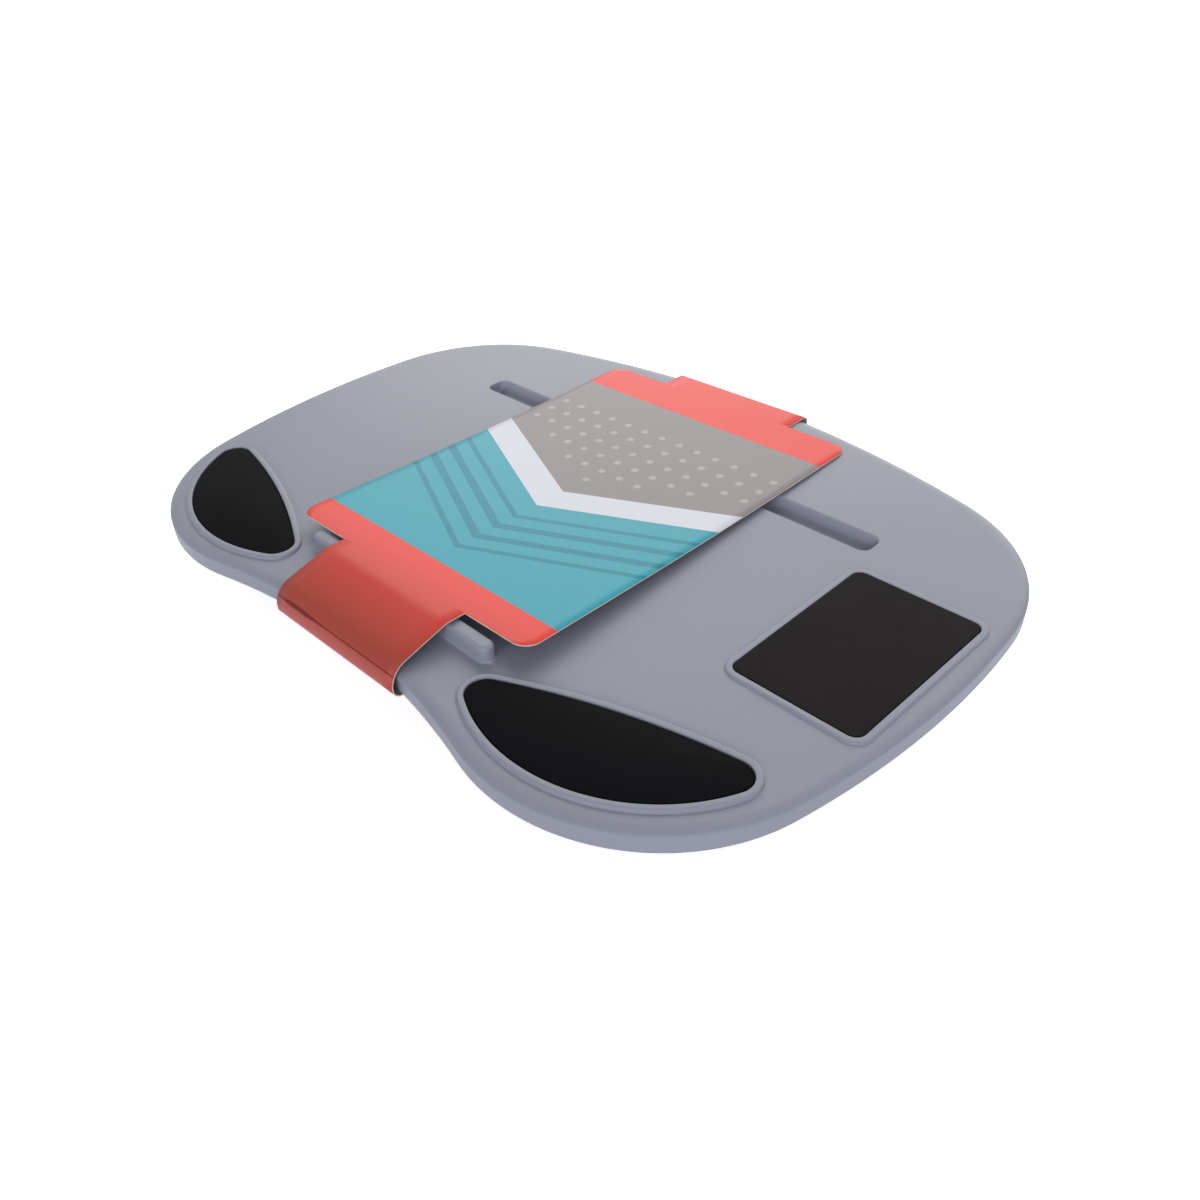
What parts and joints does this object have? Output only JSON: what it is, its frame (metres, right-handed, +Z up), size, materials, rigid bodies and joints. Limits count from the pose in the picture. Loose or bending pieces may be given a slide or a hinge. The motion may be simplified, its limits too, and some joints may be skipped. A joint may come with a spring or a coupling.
{
  "type": "tablet lap tray",
  "caption": "Kidney-shaped lap tray with wrist rests, a mouse pad, a tablet groove and a stop bar, on lap cushions, with a sliding card sleeve round its middle.",
  "frame": {"origin": "on the ground under the middle of the footprint, which the tray's front lobes and the sleeve's back bend bound", "axes": "+X to the user's right, +Y from the user's edge to the far edge, +Z up"},
  "size_m": [0.4498, 0.3285, 0.0556],
  "materials": {
    "deck_plastic": "fine satin moulded",
    "panel_plastic": "textured",
    "screw_steel": "zinc plated",
    "wrist_knit": "fine knit",
    "pad_foam": "open-cell foam",
    "adhesive": "adhesive film",
    "mouse_rubber": "foamed rubber",
    "mouse_cloth": "smooth jersey",
    "cushion_fabric": "woven",
    "cushion_fill": "bead filling",
    "fastener_tape": "hook and loop",
    "sleeve_card": "semi-gloss printed card"
  },
  "bodies": {
    "tray": {"deck_shell": "deck_plastic", "base_panel": "panel_plastic", "base_screw_1": "screw_steel", "base_screw_2": "screw_steel", "base_screw_3": "screw_steel", "base_screw_4": "screw_steel", "base_screw_5": "screw_steel", "base_screw_6": "screw_steel", "base_screw_7": "screw_steel", "base_screw_8": "screw_steel", "left_wrist_pad_cover": "wrist_knit", "left_wrist_pad_foam": "pad_foam", "left_wrist_pad_adhesive": "adhesive", "right_wrist_pad_cover": "wrist_knit", "right_wrist_pad_foam": "pad_foam", "right_wrist_pad_adhesive": "adhesive", "mouse_pad_adhesive": "adhesive", "mouse_pad_rubber": "mouse_rubber", "mouse_pad_cloth": "mouse_cloth", "left_cushion_cover": "cushion_fabric", "left_cushion_fill": "cushion_fill", "left_cushion_base_cloth": "cushion_fabric", "left_loop_tape": "fastener_tape", "left_hook_tape": "fastener_tape", "right_cushion_cover": "cushion_fabric", "right_cushion_fill": "cushion_fill", "right_cushion_base_cloth": "cushion_fabric", "right_loop_tape": "fastener_tape", "right_hook_tape": "fastener_tape"},
    "sleeve": {"display_sleeve": "sleeve_card", "sleeve_tape": "adhesive"}
  },
  "joints": [
    {"name": "sleeve_slide", "type": "slide", "parent": "tray", "child": "sleeve", "axis": [1, 0, 0], "range_m": [-0.02, 0.01]}
  ]
}
